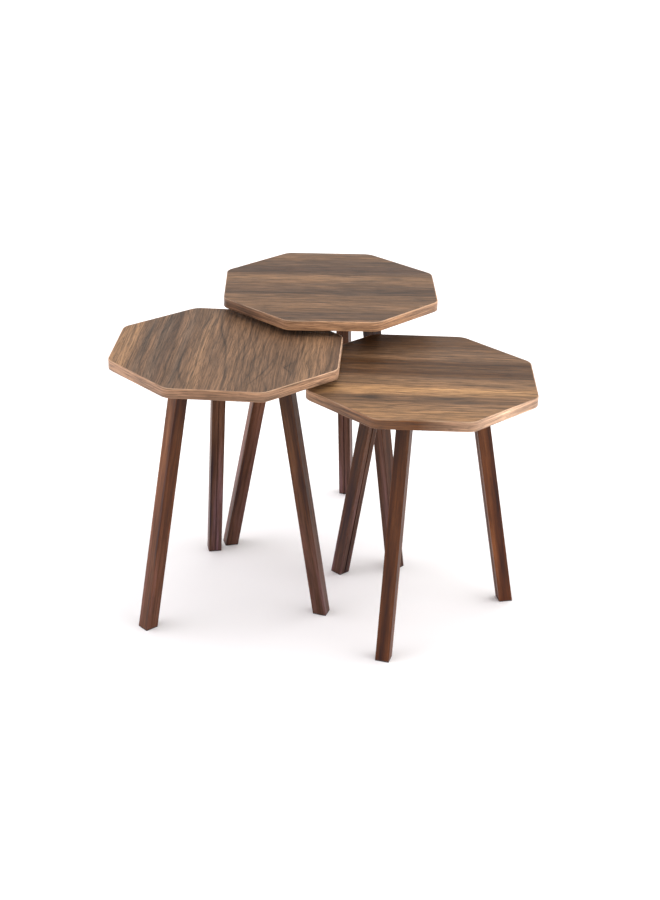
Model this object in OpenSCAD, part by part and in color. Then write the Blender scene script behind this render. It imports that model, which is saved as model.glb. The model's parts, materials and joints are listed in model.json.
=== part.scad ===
// Three nesting side tables with octagonal tops and splayed square legs.
// Frame: +Z up, origin on the floor under the middle of the set's footprint.
// Each table is made in its own frame, with the board's grain along X, and is then
// turned and moved to its place in the set.

/* [Tabletops] */
// Width of every tabletop from one flat side to the opposite one
top_w = 400; // [380:1:420]
// Thickness of the board
board_t = 18; // [16:0.5:20]
// Radius of the eight rounded corners
corner_r = 28; // [15:1:40]
// Thickness of the edge band glued round the board
band_t = 2; // [1:0.5:3]

/* [Heights] */
// Height of the tall table
tall_h = 530; // [520:1:540]
// Height of the middle table
middle_h = 500; // [495:1:505]
// Height of the low table
low_h = 470; // [460:1:475]

/* [Legs] */
// Width of the square legs
leg_w = 25; // [22:0.5:27]
// Radius of the legs' four long edges
leg_edge_r = 1.2; // [0.5:0.1:2]
// Distance from the table's centre to the middle of a leg's top end
leg_top_r = 103; // [95:1:110]
// Outward lean of the tall table's legs, in degrees
tall_lean = 10.2; // [9:0.1:11]
// Outward lean of the middle table's legs, in degrees
middle_lean = 9.8; // [9:0.1:11]
// Outward lean of the low table's legs, in degrees
low_lean = 10.6; // [9:0.1:11]
// Direction of the first leg, counted from the grain, in degrees
first_leg = -45; // [-60:1:-30]
// Width of the seam groove down the inner face of each leg
groove_w = 2.5; // [1:0.5:4]
// Depth of the seam groove
groove_d = 2; // [1:0.5:3]
// Thickness of the pad under each leg
pad_t = 2; // [1:0.5:3]

/* [Brackets] */
// Thickness of the bent steel brackets
steel_t = 2; // [1.5:0.5:3]
// Width of the brackets
bracket_w = 22; // [20:0.5:24]
// Outer radius of the bracket's bend
bend_r = 4.5; // [4:0.5:6]
// Length of the flange under the board
top_flange = 42; // [40:1:50]
// Length of the flange down the leg
leg_flange = 34; // [32:1:45]
// Length clipped off the corners at the flange ends
corner_clip = 5; // [2:0.5:6]

/* [Screws] */
// Length of a screw under its head
screw_l = 15; // [13:0.5:17]
// Radius of a screw's shank
screw_r = 1.75; // [1.5:0.05:2]
// Radius of a screw's head
head_r = 3.5; // [3:0.1:4]
// Height of a screw's head
head_h = 2.2; // [1.8:0.1:2.6]

/* [Places in the set] */
// Tall table's centre, X
tall_x = 7.5; // [0:0.5:15]
// Tall table's centre, Y
tall_y = 146.5; // [142:0.5:152]
// Tall table's turn about its centre, in degrees
tall_turn = 1.6; // [0:0.1:3]
// Middle table's centre, X
middle_x = -170; // [-176:0.5:-164]
// Middle table's centre, Y
middle_y = -118; // [-122:0.5:-114]
// Middle table's turn about its centre, in degrees
middle_turn = -92.6; // [-94:0.1:-91]
// Low table's centre, X
low_x = 172; // [168:0.5:178]
// Low table's centre, Y
low_y = -150; // [-156:0.5:-146]
// Low table's turn about its centre, in degrees
low_turn = 179.1; // [178:0.1:180]

/* [Hidden] */
$fn = 48;
TABLES = ["tall", "middle", "low"];
height = [tall_h, middle_h, low_h];
lean = [tall_lean, middle_lean, low_lean];
place = [[tall_x, tall_y], [middle_x, middle_y], [low_x, low_y]];
turn = [tall_turn, middle_turn, low_turn];
LEGS = [1, 2, 3];
leg_step = 360 / len(LEGS);

sides = 8;
half_corner = 180 / sides;
reach = 2 * tall_h;           // longer than any leg, for trimming
pilot_r = screw_r + 0.05;     // hole that a screw sits in
pilot_l = screw_l + 0.5;
clear_r = screw_r + 0.35;     // hole in the steel
bend_steps = 8;               // straight steps that make the bend
hair = 0.02;                  // how far the flats lie inside the corner circles
// Screw places on a flange: distance from the bend, distance from the middle line
top_screws = [[10, 5.5], [22, -5.5], [34, 5.5]];
leg_screws = [[12, 5.5], [26, -5.5]];

walnut_top = [0.55, 0.45, 0.38];
walnut_edge = [0.62, 0.46, 0.34];
walnut_leg = [0.33, 0.22, 0.18];
zinc = [0.72, 0.73, 0.75];
pad_brown = [0.16, 0.12, 0.11];

function dir(a) = [cos(a), sin(a)];
// Underside of table t's board
function under(t) = height[t] - board_t;
// Where the inner face of a leg meets the underside, and where the bend's centre is
function inner_r(t) = leg_top_r - leg_w / 2 / cos(lean[t]);
function bend_x(t) = inner_r(t) - bend_r * (1 - sin(lean[t])) / cos(lean[t]);

// Octagon with rounded corners, set in from the full outline. Its flats lie a hair
// inside the corner circles, so that the two cross instead of only touching.
module octagon(inset) {
    r = corner_r - inset;
    to_corner = (top_w / 2 - corner_r) / cos(half_corner);
    corners = [for (k = [0 : sides - 1]) (2 * k + 1) * half_corner];
    polygon([
        for (a = corners) for (s = [-half_corner, half_corner])
            to_corner * dir(a) + (r - hair) * dir(a + s)]);
    for (a = corners)
        translate(to_corner * dir(a)) circle(r);
}

// Children in the frame of leg k: X points out along the leg's lean
module at_leg(k) {
    rotate([0, 0, first_leg + leg_step * (k - 1)]) children();
}

// Children in the frame of the bracket's leg flange: +X into the leg, -Z down it
module on_leg_flange(t) {
    translate([bend_x(t), 0, under(t) - bend_r]) rotate([0, -lean[t], 0]) children();
}

// Children at each screw through the top flange, +Z into the board
module at_top_screws(t) {
    for (s = top_screws)
        translate([bend_x(t) - s[0], s[1], under(t) - steel_t]) children();
}

// Children at each screw through the leg flange, +Z into the leg
module at_leg_screws(t) {
    on_leg_flange(t)
        for (s = leg_screws)
            translate([bend_r - steel_t, s[1], -s[0]]) rotate([0, 90, 0]) children();
}

module board(t) {
    color(walnut_top)
    difference() {
        translate([0, 0, under(t)]) linear_extrude(board_t) octagon(band_t);
        for (k = LEGS) at_leg(k)
            at_top_screws(t) cylinder(r = pilot_r, h = pilot_l);
    }
}

module edge_band(t) {
    color(walnut_edge)
    translate([0, 0, under(t)]) linear_extrude(board_t) difference() {
        octagon(0);
        octagon(band_t);
    }
}

// Endless square bar along the leg's axis
module leg_bar(t) {
    core = leg_w - 2 * leg_edge_r;
    translate([leg_top_r, 0, under(t)]) rotate([0, -lean[t], 0])
    translate([0, 0, -reach]) linear_extrude(2 * reach) {
        square([leg_w, core], center = true);
        square([core, leg_w], center = true);
        for (x = [-1, 1]) for (y = [-1, 1])
            translate([x, y] * core / 2) circle(leg_edge_r);
    }
}

// Level slab that trims the bar between two heights
module level(z_low, z_high) {
    translate([0, -reach / 2, z_low]) cube([reach, reach, z_high - z_low]);
}

module leg(t) {
    color(walnut_leg)
    difference() {
        intersection() {
            leg_bar(t);
            level(pad_t, under(t));
        }
        translate([leg_top_r, 0, under(t)]) rotate([0, -lean[t], 0])
            translate([-leg_w, -groove_w / 2, -reach])
                cube([leg_w / 2 + groove_d, groove_w, 2 * reach]);
        at_leg_screws(t) cylinder(r = pilot_r, h = pilot_l);
    }
}

module foot_pad(t) {
    color(pad_brown)
    intersection() {
        leg_bar(t);
        level(0, pad_t);
    }
}

// Side view of a bracket: both flanges and the bend between them, X out, Y up
module bracket_profile(t) {
    centre = [bend_x(t), under(t) - bend_r];
    inner = bend_r - steel_t;
    turns = [for (k = [0 : bend_steps]) 90 + (lean[t] - 90) * k / bend_steps];
    back = [for (k = [bend_steps : -1 : 0]) turns[k]];
    down = leg_flange * [sin(lean[t]), -cos(lean[t])];
    polygon(concat(
        [centre + [-top_flange, bend_r]],
        [for (a = turns) centre + bend_r * dir(a)],
        [centre + bend_r * dir(lean[t]) + down],
        [centre + inner * dir(lean[t]) + down],
        [for (a = back) centre + inner * dir(a)],
        [centre + [-top_flange, inner]]));
}

// Block whose near face cuts a corner off a flange; +X points out of the corner
module corner_cutter() {
    size = 2 * bracket_w;
    translate([(size - corner_clip * sqrt(2)) / 2, 0, 0]) cube(size, center = true);
}

module bracket(t) {
    color(zinc)
    difference() {
        rotate([90, 0, 0]) linear_extrude(bracket_w, center = true) bracket_profile(t);
        for (side = [-1, 1]) {
            translate([bend_x(t) - top_flange, side * bracket_w / 2, under(t)])
                rotate([0, 0, 180 - side * 45]) corner_cutter();
            on_leg_flange(t) translate([bend_r, side * bracket_w / 2, -leg_flange])
                rotate([side * 45, 0, 0]) rotate([0, 90, 0]) corner_cutter();
        }
        at_top_screws(t) translate([0, 0, -1]) cylinder(r = clear_r, h = steel_t + 2);
        at_leg_screws(t) translate([0, 0, -1]) cylinder(r = clear_r, h = steel_t + 2);
    }
}

// Pan-head wood screw with a cross recess, its head resting on the XY plane
module wood_screw() {
    tip = 4;
    slot_w = 0.9;
    slot_l = 4.2;
    slot_d = 1.2;
    difference() {
        union() {
            translate([0, 0, -head_h]) cylinder(r1 = head_r - 1, r2 = head_r, h = 1);
            translate([0, 0, 1 - head_h]) cylinder(r = head_r, h = head_h - 1);
            cylinder(r = screw_r, h = screw_l - tip);
            translate([0, 0, screw_l - tip]) cylinder(r1 = screw_r, r2 = 0.3, h = tip);
        }
        for (a = [0, 90])
            rotate([0, 0, a]) translate([-slot_l / 2, -slot_w / 2, -head_h - 1])
                cube([slot_l, slot_w, slot_d + 1]);
    }
}

module screws(t) {
    color(zinc)
    for (k = LEGS) at_leg(k) {
        at_top_screws(t) wood_screw();
        at_leg_screws(t) wood_screw();
    }
}

// One table after another, each at its place in the set
for (t = [0 : len(TABLES) - 1])
translate(place[t]) rotate([0, 0, turn[t]]) {
    board(t);
    edge_band(t);
    screws(t);
    for (k = LEGS) at_leg(k) {
        leg(t);
        bracket(t);
        foot_pad(t);
    }
}
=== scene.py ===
"""Three octagonal walnut-grain nesting tables in a plain white studio."""

import json
import math

import bmesh
import bpy
from mathutils import Matrix, Vector


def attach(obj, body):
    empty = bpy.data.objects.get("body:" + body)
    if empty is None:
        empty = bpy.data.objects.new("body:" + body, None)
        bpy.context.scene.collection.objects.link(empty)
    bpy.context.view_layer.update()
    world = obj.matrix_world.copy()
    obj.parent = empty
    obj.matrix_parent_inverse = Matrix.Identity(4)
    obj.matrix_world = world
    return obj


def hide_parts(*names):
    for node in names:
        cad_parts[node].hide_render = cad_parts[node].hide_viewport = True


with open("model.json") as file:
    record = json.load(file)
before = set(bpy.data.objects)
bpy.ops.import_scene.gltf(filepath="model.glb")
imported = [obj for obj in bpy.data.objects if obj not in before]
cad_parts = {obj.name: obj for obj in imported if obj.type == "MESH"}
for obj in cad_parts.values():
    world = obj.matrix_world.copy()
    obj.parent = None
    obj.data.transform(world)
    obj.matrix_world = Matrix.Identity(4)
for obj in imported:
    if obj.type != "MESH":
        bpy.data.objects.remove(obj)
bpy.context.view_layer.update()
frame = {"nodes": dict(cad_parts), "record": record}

MM = 0.001
TABLES = ("tall", "middle", "low")
LEGS = (1, 2, 3)

# Design dimensions that the frame doesn't state, as in the CAD model
TURN = {"tall": 1.6, "middle": -92.6, "low": 179.1}  # grain direction, degrees
LEAN = {"tall": 10.2, "middle": 9.8, "low": 10.6}  # outward lean of the legs, degrees
FIRST_LEG = -45.0  # direction of leg 1 from the grain, degrees
LEG_STEP = 360.0 / len(LEGS)
LEG_TOP_R = 103 * MM  # from the table's middle to the top of a leg
TOP_W = 400 * MM  # from one flat side to the opposite one
CORNER_R = 28 * MM
BAND_T = 2 * MM  # edge band
BOARD_T = 18 * MM
SIDES = 8
CORNER = 2 * math.pi / SIDES  # turn from one side to the next
CLEAR = 0.06 * MM  # keeps a rounded piece inside its faceted CAD one

MOUNTS = {m["name"]: Vector(m["pos_m"]) for m in frame["record"]["mounts"]}


def centre(table):
    """Middle of a table's top face."""
    return MOUNTS[table + "_top_face"]


def leg_direction(table, k):
    """Direction of leg k from its table's middle, in degrees."""
    return TURN[table] + FIRST_LEG + LEG_STEP * (k - 1)


# ---------------------------------------------------------------- node helpers


def linear(rgb):
    """A display colour, 0 to 255, as the linear colour that a shader takes."""
    out = []
    for c in rgb:
        c /= 255.0
        out.append(c / 12.92 if c <= 0.04045 else ((c + 0.055) / 1.055) ** 2.4)
    return (*out, 1.0)


SHIFT_WAY = (1.0, 1.7, 0.6)  # which way a seed moves the noise


class Nodes:
    """Adds nodes to one tree. Each method adds a node and returns its output."""

    def __init__(self, tree):
        self.tree = tree

    def set(self, socket, value):
        """Links a value that comes from a node, or sets a plain one."""
        if isinstance(value, bpy.types.NodeSocket):
            self.tree.links.new(value, socket)
        else:
            socket.default_value = value

    def math(self, operation, a, b=0.0, clamp=False):
        n = self.tree.nodes.new("ShaderNodeMath")
        n.operation = operation
        n.use_clamp = clamp
        self.set(n.inputs[0], a)
        self.set(n.inputs[1], b)
        return n.outputs[0]

    def vector(self, operation, a, b):
        n = self.tree.nodes.new("ShaderNodeVectorMath")
        n.operation = operation
        self.set(n.inputs[0], a)
        self.set(n.inputs[1], b)
        return n.outputs["Value" if operation == "DOT_PRODUCT" else "Vector"]

    def split(self, vector):
        """The x, y and z of a vector."""
        n = self.tree.nodes.new("ShaderNodeSeparateXYZ")
        self.set(n.inputs[0], vector)
        return n.outputs

    def join(self, x, y, z=0.0):
        n = self.tree.nodes.new("ShaderNodeCombineXYZ")
        for socket, value in zip(n.inputs, (x, y, z)):
            self.set(socket, value)
        return n.outputs[0]

    def local(self, location, rotation):
        """Object coordinates in a frame placed at location and turned by rotation."""
        coord = self.tree.nodes.new("ShaderNodeTexCoord")
        n = self.tree.nodes.new("ShaderNodeMapping")
        n.vector_type = "TEXTURE"
        self.set(n.inputs["Vector"], coord.outputs["Object"])
        self.set(n.inputs["Location"], location)
        self.set(n.inputs["Rotation"], rotation)
        return n.outputs[0]

    def uv(self, layer):
        n = self.tree.nodes.new("ShaderNodeUVMap")
        n.uv_map = layer
        return n.outputs[0]

    def noise(self, vector, scale, detail=2.0, roughness=0.5, shift=0.0):
        """Noise from 0 to 1, with its own cycles per metre along each axis."""
        at = self.vector("MULTIPLY", vector, scale)
        if shift:
            at = self.vector("ADD", at, [shift * part for part in SHIFT_WAY])
        n = self.tree.nodes.new("ShaderNodeTexNoise")
        self.set(n.inputs["Vector"], at)
        n.inputs["Scale"].default_value = 1.0
        n.inputs["Detail"].default_value = detail
        n.inputs["Roughness"].default_value = roughness
        return n.outputs["Fac"]

    def ramp(self, value, stops, smooth="LINEAR"):
        """Colour ramp; stops are (position, colour or grey level)."""
        n = self.tree.nodes.new("ShaderNodeValToRGB")
        n.color_ramp.interpolation = smooth
        points = n.color_ramp.elements
        while len(points) < len(stops):
            points.new(0.5)
        for point, (position, colour) in zip(points, sorted(stops)):
            point.position = position
            point.color = (colour,) * 3 + (1.0,) if isinstance(colour, float) else colour
        self.set(n.inputs["Fac"], value)
        return n.outputs["Color"]

    def mix(self, blend, factor, a, b):
        n = self.tree.nodes.new("ShaderNodeMix")
        n.data_type = "RGBA"
        n.blend_type = blend
        shown = [socket for socket in n.inputs if socket.enabled]
        for socket, value in zip(shown, (factor, a, b)):
            self.set(socket, value)
        return next(socket for socket in n.outputs if socket.enabled)

    def bump(self, height, strength, distance):
        n = self.tree.nodes.new("ShaderNodeBump")
        n.inputs["Strength"].default_value = strength
        n.inputs["Distance"].default_value = distance
        self.set(n.inputs["Height"], height)
        return n.outputs["Normal"]

    def times(self, colour, by, amount=1.0):
        """A colour multiplied by another one."""
        return self.mix("MULTIPLY", amount, colour, by)

    def satin(self, vector, scale, low, high, seed):
        """Roughness that wanders between two levels."""
        wander = self.noise(vector, scale, 3.0, 0.6, seed)
        return self.ramp(wander, [(0.3, low), (0.7, high)])


class Shader(Nodes):
    """One node material with a Principled surface."""

    def __init__(self, name):
        self.material = bpy.data.materials.new(name)
        self.material.use_nodes = True
        super().__init__(self.material.node_tree)
        self.tree.nodes.clear()
        out = self.tree.nodes.new("ShaderNodeOutputMaterial")
        self.bsdf = self.tree.nodes.new("ShaderNodeBsdfPrincipled")
        self.tree.links.new(self.bsdf.outputs[0], out.inputs["Surface"])

    def surface(self, **inputs):
        """Sets the surface's inputs, with _ for a space in their names."""
        for name, value in inputs.items():
            self.set(self.bsdf.inputs[name.replace("_", " ")], value)


# ---------------------------------------------------------------- walnut grain

# How the studio shows a surface: its pigment times a light, plus a gloss haze
LIGHT, HAZE = 1.40, 0.042  # tabletops
SIDE_LIGHT, SIDE_HAZE = 0.85, 0.02  # edge bands
LEG_LIGHT, LEG_HAZE = 0.95, 0.018
DARKEST = 0.002


def pigment(rgb, light=LIGHT, haze=HAZE):
    """The base colour that looks like this display colour in the studio."""
    return (*(max((c - haze) / light, DARKEST) for c in linear(rgb)[:3]), 1.0)


# Walnut tones as they look in the studio, as display colours
TONES = {
    "smoke": (114, 94, 84),
    "shade": (123, 101, 88),
    "slate": (136, 114, 100),
    "umber": (106, 82, 66),
    "rust": (92, 62, 40),
    "bark": (122, 96, 78),
    "nut": (142, 115, 97),
    "clay": (150, 121, 101),
    "sand": (161, 130, 107),
    "honey": (176, 141, 113),
    "cream": (201, 161, 126),
    "blush": (196, 166, 144),
}

# Each top leans a little warmer or cooler than the shared tones
TINTS = {
    "tall": (0.97, 0.92, 0.76, 1.0),
    "middle": (0.96, 0.93, 0.83, 1.0),
    "low": (1.02, 0.95, 0.75, 1.0),
}

# Bands across each tabletop, from one flat side to the other: (mm across, tone)
BANDS = {
    "tall": (
        (-198, "nut"), (-182, "shade"), (-158, "shade"), (-143, "nut"), (-122, "clay"),
        (-98, "clay"), (-78, "nut"), (-62, "nut"), (-47, "shade"), (-22, "shade"),
        (6, "nut"), (24, "clay"), (42, "sand"), (54, "clay"), (72, "shade"),
        (86, "smoke"), (104, "smoke"), (122, "shade"), (144, "shade"), (158, "nut"),
        (178, "nut"), (198, "slate"),
    ),
    "middle": (
        (-198, "honey"), (-172, "honey"), (-160, "clay"), (-148, "slate"),
        (-136, "nut"), (-122, "slate"), (-104, "shade"), (-90, "nut"), (-78, "slate"),
        (-67, "nut"), (-56, "clay"), (-44, "sand"), (-30, "clay"), (-14, "nut"),
        (2, "clay"), (20, "clay"), (38, "nut"), (56, "clay"), (75, "nut"), (90, "nut"),
        (108, "nut"), (124, "nut"), (138, "sand"), (152, "sand"), (174, "clay"),
        (184, "nut"), (194, "shade"),
    ),
    "low": (
        (-198, "bark"), (-150, "bark"), (-105, "nut"), (-80, "nut"), (-68, "bark"),
        (-57, "umber"), (-45, "bark"), (-30, "bark"), (-12, "umber"), (0, "bark"),
        (12, "nut"), (26, "sand"), (42, "sand"), (52, "honey"), (61, "cream"),
        (74, "cream"), (88, "honey"), (98, "nut"), (112, "nut"), (126, "clay"),
        (140, "sand"), (160, "honey"), (198, "honey"),
    ),
}

# Soft spots: (mm along, mm across, half length, half width, how much lighter or darker)
SPOTS = {
    "tall": (
        (95, -28, 110, 22, -0.20), (50, -5, 26, 12, -0.20), (-105, 98, 90, 18, -0.12),
        (-120, -30, 70, 24, 0.12), (-40, -112, 90, 12, 0.08), (-60, 48, 110, 12, 0.08),
        (120, 150, 60, 14, -0.08), (60, 62, 90, 12, -0.08),
    ),
    "middle": (
        (78, 116, 24, 8, -0.34), (30, 100, 100, 14, -0.10), (-18, -74, 42, 5, -0.30),
        (110, -76, 60, 5, -0.22), (150, 50, 50, 18, -0.10), (-20, -108, 150, 7, -0.14),
        (-110, -92, 60, 12, 0.10), (0, 166, 140, 12, 0.12), (-150, -60, 60, 10, -0.10),
        (110, -34, 70, 12, 0.08), (120, -150, 80, 8, 0.10),
    ),
    "low": (
        (-140, 110, 24, 6, -0.30), (-80, 115, 32, 7, -0.44), (-28, 102, 30, 7, -0.44),
        (84, 104, 20, 10, -0.44), (-120, 42, 60, 7, -0.14), (100, 30, 60, 10, -0.14),
        (60, -45, 120, 12, -0.14), (-100, 62, 60, 8, 0.10), (-60, 140, 110, 10, 0.06),
        (120, 62, 60, 8, 0.06),
    ),
}

# Dark growth lines: (mm along, mm across, slope, bend per metre, half length, half width, depth)
FIGURES = {
    "tall": (
        (-88, -98, 0.02, -0.9, 80, 1.8, 0.26), (22, -118, -0.62, -3.0, 44, 2.0, 0.26),
        (-60, -84, 0.03, -0.6, 90, 1.5, 0.14), (60, -92, -0.35, -3.0, 50, 1.6, 0.18),
        (100, 4, -0.06, -1.0, 90, 2.2, 0.20), (-70, -46, 0.02, 0.4, 90, 2.0, 0.20),
        (60, 128, 0.05, 0.6, 120, 2.0, 0.16), (-90, 30, -0.02, 0.5, 80, 1.8, 0.16),
        (110, -36, 0.03, 0.5, 80, 2.4, 0.24), (-40, 78, 0.02, 0.3, 120, 2.0, 0.16),
    ),
    "middle": (
        (-110, -24, 0.10, 0.5, 80, 1.9, 0.56), (10, -3, 0.16, -0.6, 60, 1.9, 0.52),
        (120, 7, 0.04, -0.5, 75, 2.0, 0.52), (110, 72, -0.30, -1.2, 62, 1.8, 0.54),
        (80, 88, -0.14, -1.6, 70, 1.7, 0.48), (60, 54, 0.02, -1.4, 110, 1.7, 0.46),
        (40, 34, 0.06, -0.8, 130, 1.6, 0.42), (-20, 16, 0.12, 0.3, 80, 1.6, 0.40),
        (80, -74, 0.02, 1.4, 100, 2.2, 0.54), (-60, -58, -0.06, 0.6, 90, 1.8, 0.36),
        (0, -146, 0.03, 0.3, 130, 2.2, 0.46), (-30, -124, 0.02, 0.3, 120, 2.0, 0.42),
        (92, 112, 0.55, 0.0, 16, 2.2, 0.46), (72, 114, -0.50, 0.0, 16, 2.2, 0.42),
        (30, -94, 0.03, -0.3, 140, 1.8, 0.36), (120, 24, -0.04, -1.2, 70, 1.6, 0.42),
        (20, 66, 0.04, -1.5, 80, 1.6, 0.38), (60, 126, -0.06, -0.8, 90, 1.6, 0.36),
        (-60, 44, 0.10, 0.2, 70, 1.6, 0.32), (60, 182, -0.05, -1.2, 100, 3.5, 0.44),
    ),
    "low": (
        (-60, -57, 0.03, 0.2, 150, 1.8, 0.34), (-40, -34, -0.02, 0.4, 120, 1.6, 0.30),
        (-80, -12, 0.03, -0.3, 110, 1.9, 0.34), (20, -22, -0.03, -0.3, 140, 1.4, 0.28),
        (-60, -74, 0.02, 0.3, 130, 1.5, 0.26), (0, 51, -0.03, -0.3, 180, 1.6, 0.30),
        (-80, 121, 0.10, -1.6, 34, 1.5, 0.44), (-30, 96, -0.12, 1.6, 34, 1.5, 0.44),
        (84, 112, -0.16, 1.8, 24, 1.5, 0.44), (-60, 152, 0.03, -0.5, 90, 1.2, 0.24),
        (30, 92, 0.03, 0.2, 160, 1.6, 0.26), (-100, 24, 0.04, 0.3, 80, 1.6, 0.26),
        (-110, -44, 0.02, 0.2, 70, 1.8, 0.30),
    ),
}

# Patches, streaks and fibres: (cycles per metre along, and across, darkest and lightest level)
GRAIN = {
    "tall": ((6.0, 42.0, 0.78, 1.10), (7.0, 150.0, 0.66, 1.21), (20.0, 300.0, 0.52, 1.44)),
    "middle": ((3.0, 48.0, 0.88, 1.07), (3.0, 230.0, 0.74, 1.16), (12.0, 460.0, 0.48, 1.48)),
    "low": ((5.0, 42.0, 0.78, 1.12), (6.0, 150.0, 0.62, 1.24), (20.0, 300.0, 0.52, 1.44)),
    "band": ((5.0, 42.0, 0.82, 1.14), (3.0, 150.0, 0.66, 1.22), (14.0, 430.0, 0.54, 1.44)),
}

HALF_RAMP = 200 * MM  # the bands' ramp covers this much each side of the middle
# Bends of the bands, slow then quick: (cycles per metre along, and across, how far)
BENDS = ((4.5, 7.0, 12 * MM), (7.0, 40.0, 4 * MM))
LINES_PER_M = 62.0  # fine growth lines, across the grain
LINE_WANDER = 9.0  # by how many lines they wander
# From one growth line to the next: (part of the way, level)
LINE_SHADES = [(0.0, 0.45), (0.09, 0.84), (0.30, 1.02), (0.86, 1.0), (1.0, 0.58)]
LINE_DEPTH = 0.80
PORE_DEPTH = 0.85


def bell(s, squared):
    """Falls from 1 to 0 as a squared distance grows."""
    return s.math("POWER", math.e, s.math("MULTIPLY", squared, -1.0))


def shade_by(s, colour, amount, depth):
    """Lightens a colour by depth, or darkens it if depth is below 0, where amount is 1."""
    level = s.math("ADD", s.math("MULTIPLY", amount, depth), 1.0)
    return s.times(colour, s.join(level, level, level))


def add_spot(s, colour, along, across, spot):
    """A soft oval that is lighter or darker."""
    u, v, half_l, half_w, depth = spot
    du = s.math("MULTIPLY", s.math("SUBTRACT", along, u * MM), 1 / (half_l * MM))
    dv = s.math("MULTIPLY", s.math("SUBTRACT", across, v * MM), 1 / (half_w * MM))
    away = s.math("ADD", s.math("MULTIPLY", du, du), s.math("MULTIPLY", dv, dv))
    return shade_by(s, colour, bell(s, away), depth)


def add_figure(s, colour, along, across, figure):
    """One dark growth line: a gentle parabola that fades at its ends."""
    u, v, slope, bend, half_l, half_w, depth = figure
    du = s.math("SUBTRACT", along, u * MM)
    curve = s.math("MULTIPLY", du, s.math("ADD", s.math("MULTIPLY", du, bend), slope))
    off = s.math("SUBTRACT", s.math("SUBTRACT", across, curve), v * MM)
    off = s.math("MULTIPLY", off, 1 / (half_w * MM))
    end = s.math("MULTIPLY", du, 1 / (half_l * MM))
    end = s.math("POWER", s.math("ABSOLUTE", end), 4.0)
    away = s.math("ADD", s.math("MULTIPLY", off, off), end)
    return shade_by(s, colour, bell(s, away), -depth)


def tabletop_grain(s, along, across, up, table, seed):
    """Walnut colour and pore depth over a tabletop, from coordinates in metres."""
    flat = s.join(along, across, up)
    bent = across
    for shift, (per_m_along, per_m_across, reach) in zip((0, 3), BENDS):
        wave = s.noise(flat, (per_m_along, per_m_across, per_m_across), 2.0, 0.5, seed + shift)
        wave = s.math("SUBTRACT", wave, 0.5)
        bent = s.math("ADD", bent, s.math("MULTIPLY", wave, reach))
    at = s.math("ADD", s.math("MULTIPLY", bent, 0.5 / HALF_RAMP), 0.5)
    stops = [(0.5 + mm * MM * 0.5 / HALF_RAMP, pigment(TONES[t])) for mm, t in BANDS[table]]
    colour = s.times(s.ramp(at, stops, "EASE"), TINTS[table])
    for spot in SPOTS[table]:
        colour = add_spot(s, colour, along, bent, spot)
    for figure in FIGURES[table]:
        colour = add_figure(s, colour, along, bent, figure)
    return add_fibres(s, colour, s.join(along, bent, up), bent, GRAIN[table], seed)


def add_fibres(s, colour, sheet, across, grain, seed):
    """Adds growth lines, streaks, fibres and pores to a base colour, along the first axis."""
    # A growth line lies where a slowly wandering height passes a whole number
    wander = s.noise(sheet, (3.0, 9.0, 9.0), 1.5, 0.4, seed + 7)
    wander = s.math("MULTIPLY", wander, LINE_WANDER)
    height = s.math("ADD", s.math("MULTIPLY", across, LINES_PER_M), wander)
    line = s.ramp(s.math("FRACT", height), LINE_SHADES)
    where = s.noise(sheet, (5.0, 16.0, 16.0), 1.0, 0.5, seed + 11)
    where = s.ramp(where, [(0.34, 0.0), (0.56, 1.0)])
    colour = s.times(colour, line, s.math("MULTIPLY", where, LINE_DEPTH))
    for shift, (per_m_along, per_m_across, dark, light) in zip((29, 13, 17), grain):
        layer = s.noise(sheet, (per_m_along, per_m_across, per_m_across), 4.0, 0.62, seed + shift)
        layer = s.ramp(layer, [(0.33, dark), (0.5, 1.0), (0.67, light)])
        colour = s.times(colour, layer)
    pore = s.noise(sheet, (42.0, 900.0, 900.0), 2.0, 0.6, seed + 19)
    pores = s.ramp(pore, [(0.34, 0.36), (0.47, 1.0)])
    colour = s.times(colour, pores, PORE_DEPTH)
    return colour, pores


def tabletop_material(table):
    """Laminate with the grain along the table's own x axis."""
    s = Shader("walnut_top_" + table)
    local = s.local(centre(table), (0.0, 0.0, math.radians(TURN[table])))
    along, across, up = s.split(local)
    seed = 10.0 + 17.0 * TABLES.index(table)
    colour, pores = tabletop_grain(s, along, across, up, table, seed)
    rough = s.satin(local, (9.0, 60.0, 60.0), 0.42, 0.54, seed)
    s.surface(Base_Color=colour, Roughness=rough, Normal=s.bump(pores, 0.35, 0.2 * MM))
    s.surface(Specular_IOR_Level=0.28)
    return s.material


# Tones on the sides of each edge band, with painted light and shade in them: on top of the
# print's own tone, sides turned to the light from the right are painted lighter and sides in
# shade darker; side 0 faces along the grain, and they count anticlockwise
BAND_TONES_WITH_SIDE_LIGHT = {
    "tall": ("sand", "clay", "nut", "clay", "bark", "umber", "honey", "honey"),
    "middle": ("bark", "sand", "blush", "nut", "bark", "clay", "clay", "clay"),
    "low": ("honey", "umber", "rust", "blush", "sand", "nut", "bark", "nut"),
}
SEAM = {"tall": 1, "middle": 3, "low": 5}  # the band's ends meet after this side, at the back
# Painted highlight along the upper arris: (way down the band, level)
ARRIS_HIGHLIGHT = ((0.3 * MM, 0.0), (0.9 * MM, 1.0), (2.4 * MM, 1.0), (3.2 * MM, 0.0))
ARRIS_HIGHLIGHT_SPAN = 4 * MM
# Colour of the painted arris highlight
ARRIS_HIGHLIGHT_COLOUR = (196, 164, 132)
ARRIS_HIGHLIGHT_DEPTH = 0.50


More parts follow.
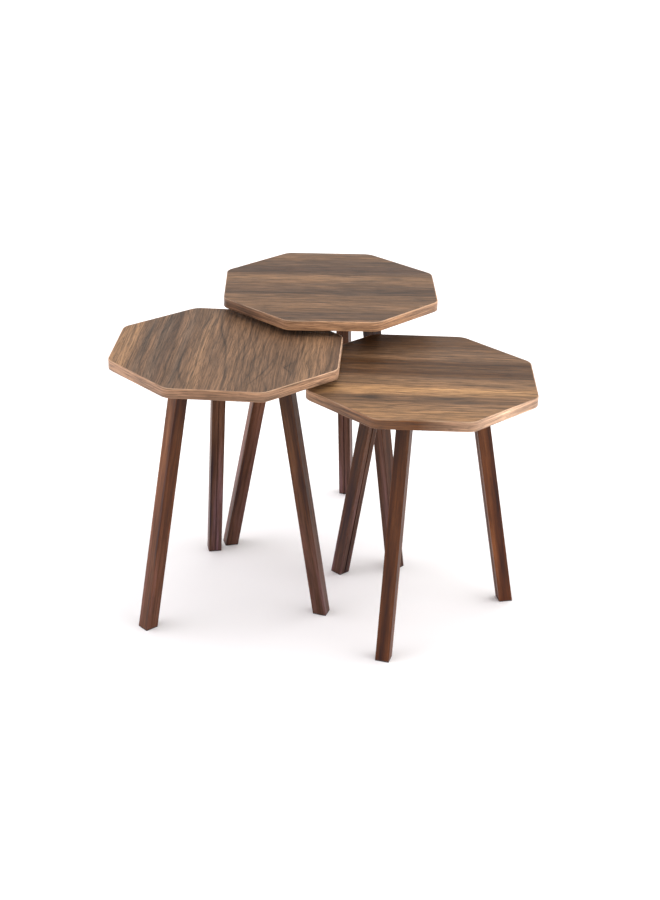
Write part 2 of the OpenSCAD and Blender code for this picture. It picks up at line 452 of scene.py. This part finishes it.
def edge_band_material(table, length):
    """Printed band: the grain runs round the table, so it follows the band's own map."""
    s = Shader("walnut_band_" + table)
    round_it, down, _ = s.split(s.uv("band"))
    seed = 90.0 + 13.0 * TABLES.index(table)
    sheet = s.join(round_it, down, 0.0)
    # The map starts at the corner after the seam's side
    first = SEAM[table] + 1
    tones = BAND_TONES_WITH_SIDE_LIGHT[table][first:] + BAND_TONES_WITH_SIDE_LIGHT[table][:first]
    pigments = [pigment(TONES[t], SIDE_LIGHT, SIDE_HAZE) for t in tones]
    stops = [((k + 0.5) / SIDES, p) for k, p in enumerate(pigments)]
    stops += [(0.0, stops[0][1]), (1.0, stops[0][1])]
    # The sides' tones, with their painted light and shade, step round the band
    colour = s.ramp(s.math("MULTIPLY", round_it, 1 / length), stops)
    warm = s.noise(sheet, (4.2, 60.0, 1.0), 3.0, 0.55, seed)
    warm = s.ramp(warm, [(0.3, (0.86, 0.79, 0.70, 1.0)), (0.7, (1.20, 1.12, 1.00, 1.0))])
    colour = s.times(colour, warm)
    colour, pores = add_fibres(s, colour, sheet, down, GRAIN["band"], seed)
    # A painted highlight lies along the upper arris, here and there
    stops = [(way / ARRIS_HIGHLIGHT_SPAN, level) for way, level in ARRIS_HIGHLIGHT]
    arris_highlight = s.ramp(s.math("MULTIPLY", down, 1 / ARRIS_HIGHLIGHT_SPAN), stops)
    highlight_patches = s.noise(sheet, (22.0, 300.0, 1.0), 3.0, 0.6, seed + 41)
    highlight_patches = s.ramp(highlight_patches, [(0.40, 0.10), (0.62, 1.0)])
    arris_highlight = s.math("MULTIPLY", s.math("MULTIPLY", arris_highlight, highlight_patches), ARRIS_HIGHLIGHT_DEPTH)
    colour = s.mix("MIX", arris_highlight, colour, linear(ARRIS_HIGHLIGHT_COLOUR))
    rough = s.satin(sheet, (9.0, 60.0, 1.0), 0.36, 0.50, seed)
    s.surface(Base_Color=colour, Roughness=rough, Normal=s.bump(pores, 0.3, 0.15 * MM))
    s.surface(Specular_IOR_Level=0.35)
    return s.material


# Leg wrap tones as they look in the studio, from dark to light
LEG_TONES = (
    (0.30, (50, 33, 27)), (0.44, (76, 51, 38)), (0.56, (92, 62, 45)), (0.70, (116, 80, 58)),
)
PLAIN = (1.0, 1.0, 1.0, 1.0)
TINT_SPAN = 480 * MM  # down a leg, from its top
# Painted shade makes the wrap darkest under the top, and towards the foot painted cool light
# turns it purple; on the brown feet the foot turns darker and browner instead
LEG_HEAD_SHADE_TINT = (0.66, 0.70, 0.74, 1.0)
LEG_FOOT_COOL_LIGHT_TINT = (1.0, 1.22, 3.2, 1.0)
BROWN_FOOT_TINT = (0.80, 0.72, 0.70, 1.0)
BROWN_FEET = (("low", 2), ("low", 3))
# Legs that look lighter, warmer or cooler than the rest. This is partly the wrap's own tone and
# partly painted light: the lighter tints paint the light these legs catch, and the bluer ones
# paint a lavender sheen
LEG_TINTS_WITH_LIGHT = {
    ("middle", 1): (1.50, 1.42, 1.35, 1.0),
    ("middle", 3): (1.12, 1.20, 1.60, 1.0),
    ("tall", 3): (1.35, 1.35, 1.50, 1.0),
    ("low", 1): (1.02, 1.05, 1.40, 1.0),
    ("low", 2): (1.10, 1.02, 0.95, 1.0),
    ("low", 3): (1.34, 1.12, 0.80, 1.0),
}


def leg_material(table, k):
    """Dark walnut wrap, its grain along the leg."""
    s = Shader(f"walnut_leg_{table}_{k}")
    direction = math.radians(leg_direction(table, k))
    out = Vector((math.cos(direction), math.sin(direction), 0.0))
    top = centre(table) + out * LEG_TOP_R - Vector((0, 0, BOARD_T))
    local = s.local(top, (0.0, -math.radians(LEAN[table]), direction))
    x, y, z = s.split(local)
    seed = 200.0 + 31.0 * TABLES.index(table) + 9.0 * k
    sheet = s.join(z, x, y)
    tone = s.noise(sheet, (3.0, 60.0, 60.0), 4.0, 0.6, seed)
    stops = [(at, pigment(rgb, LEG_LIGHT, LEG_HAZE)) for at, rgb in LEG_TONES]
    colour = s.ramp(tone, stops)
    # Painted shade under the top, painted cool light towards the foot
    down = s.math("MULTIPLY", z, -1 / TINT_SPAN, clamp=True)
    foot = BROWN_FOOT_TINT if (table, k) in BROWN_FEET else LEG_FOOT_COOL_LIGHT_TINT
    colour = s.times(colour, s.ramp(down, [(0.03, LEG_HEAD_SHADE_TINT), (0.35, PLAIN), (0.95, foot)]))
    # Per-leg tints, partly painted light and painted sheen
    colour = s.times(colour, LEG_TINTS_WITH_LIGHT.get((table, k), PLAIN))
    fibre = s.noise(sheet, (16.0, 330.0, 330.0), 4.0, 0.65, seed + 5)
    fibre = s.ramp(fibre, [(0.25, 0.58), (0.5, 1.0), (0.75, 1.34)])
    colour = s.times(colour, fibre)
    pore = s.noise(sheet, (60.0, 1100.0, 1100.0), 2.0, 0.5, seed + 9)
    pores = s.ramp(pore, [(0.32, 0.5), (0.44, 1.0)])
    colour = s.times(colour, pores, 0.7)
    rough = s.satin(sheet, (8.0, 50.0, 50.0), 0.40, 0.54, seed + 2)
    s.surface(Base_Color=colour, Roughness=rough, Normal=s.bump(pores, 0.3, 0.15 * MM))
    s.surface(Specular_IOR_Level=0.22)
    return s.material


def zinc_material(name, tint, scale):
    """Zinc plate: a fine spangle with faint rubbed marks."""
    s = Shader(name)
    local = s.local((0.0, 0.0, 0.0), (0.0, 0.0, 0.0))
    spangle = s.noise(local, (scale, scale, scale), 3.0, 0.6)
    rubbed = s.noise(local, (scale * 0.2, scale * 3.0, scale), 4.0, 0.6, 5.0)
    level = s.ramp(spangle, [(0.3, 0.80), (0.7, 1.05)])
    colour = s.times(linear(tint), level)
    rough = s.ramp(rubbed, [(0.3, 0.26), (0.7, 0.48)])
    s.surface(Base_Color=colour, Roughness=rough, Normal=s.bump(rubbed, 0.15, 0.05 * MM))
    s.surface(Metallic=1.0)
    return s.material


def pad_material():
    """Dark brown moulded pad with a slightly scuffed skin."""
    s = Shader("pad_brown")
    local = s.local((0.0, 0.0, 0.0), (0.0, 0.0, 0.0))
    scuff = s.noise(local, (300.0, 300.0, 300.0), 4.0, 0.6)
    colour = s.mix("MIX", scuff, linear((38, 29, 27)), linear((62, 48, 44)))
    rough = s.ramp(scuff, [(0.3, 0.5), (0.7, 0.75)])
    s.surface(Base_Color=colour, Roughness=rough, Normal=s.bump(scuff, 0.3, 0.1 * MM))
    return s.material


# ---------------------------------------------------------------- detailed pieces


# Radii of the band's eased edges
UPPER_ARRIS = 1.2 * MM
LOWER_ARRIS = 0.7 * MM
INNER_EASE = 0.25 * MM


def outline(inset, seam, arc_steps=8):
    """Points of the rounded octagon, set in from the full one, from the corner after a side."""
    to_corner = (TOP_W / 2 - CORNER_R) / math.cos(CORNER / 2)
    r = CORNER_R - inset - CLEAR
    points = []
    for side in range(seam, seam + SIDES):
        corner = (side + 0.5) * CORNER
        for step in range(arc_steps + 1):
            a = corner + (step / arc_steps - 0.5) * CORNER
            points.append(Vector((
                to_corner * math.cos(corner) + r * math.cos(a),
                to_corner * math.sin(corner) + r * math.sin(a),
            )))
    return points


def piece(name, mesh, body, material):
    """A finished mesh as an object that rides on a body."""
    obj = bpy.data.objects.new(name, mesh)
    bpy.context.scene.collection.objects.link(obj)
    mesh.materials.append(material)
    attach(obj, body)
    return obj


def arris(radius, steps=5):
    """A rounded edge from the face to the side, as (inset, depth)."""
    turns = [math.pi / 2 * k / steps for k in range(steps + 1)]
    return [(radius * (1 - math.sin(a)), radius * (1 - math.cos(a))) for a in turns]


def band_section():
    """The band's section as (inset, depth), down its outer face from the inner top corner."""
    inner = [(BAND_T, INNER_EASE), (BAND_T - INNER_EASE, 0.0)]
    lower = inner + arris(LOWER_ARRIS)
    return inner + arris(UPPER_ARRIS) + [(i, BOARD_T - down) for i, down in reversed(lower)]


def running_length(points):
    """How far along a closed line each of its points lies, ending with its whole length."""
    total = [0.0]
    for a, b in zip(points, points[1:] + points[:1]):
        total.append(total[-1] + math.dist(a, b))
    return total


def band_mesh(table):
    """A ring with the band's section, and its length. Its map holds metres round and down."""
    section = band_section()
    seam = SEAM[table]
    along = running_length(outline(0.0, seam))
    down = running_length(section)
    turn = Matrix.Rotation(math.radians(TURN[table]), 4, "Z")
    bm = bmesh.new()
    uv = bm.loops.layers.uv.new("band")
    rings = []
    for inset, depth in section:
        spots = [turn @ Vector((p.x, p.y, -depth)) for p in outline(inset, seam)]
        rings.append([bm.verts.new(centre(table) + spot) for spot in spots])
    n = len(rings[0])
    for r, (upper, lower) in enumerate(zip(rings, rings[1:] + rings[:1])):
        for i in range(n):
            j = (i + 1) % n
            face = bm.faces.new((upper[i], lower[i], lower[j], upper[j]))
            face.smooth = True
            corners = ((i, r), (i, r + 1), (i + 1, r + 1), (i + 1, r))
            for loop, (a, b) in zip(face.loops, corners):
                loop[uv].uv = (along[a], down[b])
    bmesh.ops.recalc_face_normals(bm, faces=bm.faces)
    mesh = bpy.data.meshes.new(table + "_band")
    bm.to_mesh(mesh)
    bm.free()
    return mesh, along[-1]


def edge_band(table):
    """The band with its eased arrises; it replaces the plain CAD ring."""
    mesh, length = band_mesh(table)
    material = edge_band_material(table, length)
    obj = piece(table + "_band_eased", mesh, table + "_table", material)
    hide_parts(table + "_edge_band")
    return obj


# ---------------------------------------------------------------- assembly

ZINC = zinc_material("zinc_plate", (196, 198, 204), 900.0)
SCREW_ZINC = zinc_material("zinc_screw", (206, 204, 196), 1600.0)
PAD = pad_material()


def dress(node, material):
    """Gives a CAD node its material."""
    obj = frame["nodes"][node]
    obj.data.materials.clear()
    obj.data.materials.append(material)


for table in TABLES:
    dress(table + "_board", tabletop_material(table))
    edge_band(table)
    dress(table + "_screws", SCREW_ZINC)
    for k in LEGS:
        dress(f"{table}_leg_{k}", leg_material(table, k))
        dress(f"{table}_bracket_{k}", ZINC)
        dress(f"{table}_foot_pad_{k}", PAD)


# ---------------------------------------------------------------- studio


FLOOR_HALF = 30.0  # metres
FLOOR_WHITE = (0.95, 0.95, 0.95, 1.0)


def floor():
    """Plain pale floor."""
    half = FLOOR_HALF
    mesh = bpy.data.meshes.new("floor")
    corners = [(-half, -half, 0), (half, -half, 0), (half, half, 0), (-half, half, 0)]
    mesh.from_pydata(corners, [], [(0, 1, 2, 3)])
    obj = bpy.data.objects.new("floor", mesh)
    bpy.context.scene.collection.objects.link(obj)
    s = Shader("floor_white")
    s.surface(Base_Color=FLOOR_WHITE, Roughness=0.9, Specular_IOR_Level=0.0)
    mesh.materials.append(s.material)


WARM = (1.0, 0.99, 0.97)
PINK = (1.0, 0.95, 1.02)
# Glows of the studio: (direction, tightness, strength, colour)
GLOWS = (
    ((0.0, 0.0, 1.0), 1.5, 1.10, WARM),
    ((0.50, 0.35, 0.75), 5.0, 1.5, WARM),
    ((-0.95, -0.10, 0.25), 5.0, 2.9, PINK),
    ((0.95, -0.18, 0.20), 5.0, 2.1, PINK),
)
BASE_GLOW = 0.12
HORIZON = [(0.0, 0.90), (0.19, 0.85), (0.30, 0.0)]  # white backdrop: (rise, glow)


def studio():
    """Soft light from overhead and from both sides; little from the front and back."""
    world = bpy.data.worlds.new("studio")
    world.use_nodes = True
    s = Nodes(world.node_tree)
    towards = s.tree.nodes.new("ShaderNodeTexCoord").outputs["Generated"]
    rise = s.split(towards)[2]
    total = s.vector("ADD", s.ramp(rise, HORIZON), (BASE_GLOW,) * 3)
    for direction, tightness, strength, colour in GLOWS:
        facing = s.vector("DOT_PRODUCT", towards, Vector(direction).normalized())
        lobe = s.math("POWER", s.math("MAXIMUM", facing, 0.0), tightness)
        lit = s.join(*(s.math("MULTIPLY", lobe, strength * c) for c in colour))
        total = s.vector("ADD", total, lit)
    background = s.tree.nodes["Background"]
    s.set(background.inputs["Color"], total)
    bpy.context.scene.world = world


# Camera, as if on a tripod in front of the set
CAMERA_AT = Vector((15.4, -2792.4, 1534.5)) * MM
CAMERA_PITCH = 24.67  # degrees below the horizon
CAMERA_ROLL = 1.59  # degrees, anticlockwise
CAMERA_LENS = 64.78  # mm, on a sensor this wide
CAMERA_SENSOR = 36.0


def camera():
    """The photo's camera."""
    data = bpy.data.cameras.new("camera")
    data.lens = CAMERA_LENS
    data.sensor_width = CAMERA_SENSOR
    obj = bpy.data.objects.new("camera", data)
    pitch = Matrix.Rotation(math.radians(90 - CAMERA_PITCH), 4, "X")
    roll = Matrix.Rotation(math.radians(CAMERA_ROLL), 4, "Z")
    obj.matrix_world = Matrix.Translation(CAMERA_AT) @ pitch @ roll
    bpy.context.scene.collection.objects.link(obj)
    bpy.context.scene.camera = obj


floor()
studio()
camera()
bpy.context.scene.view_settings.view_transform = "Standard"
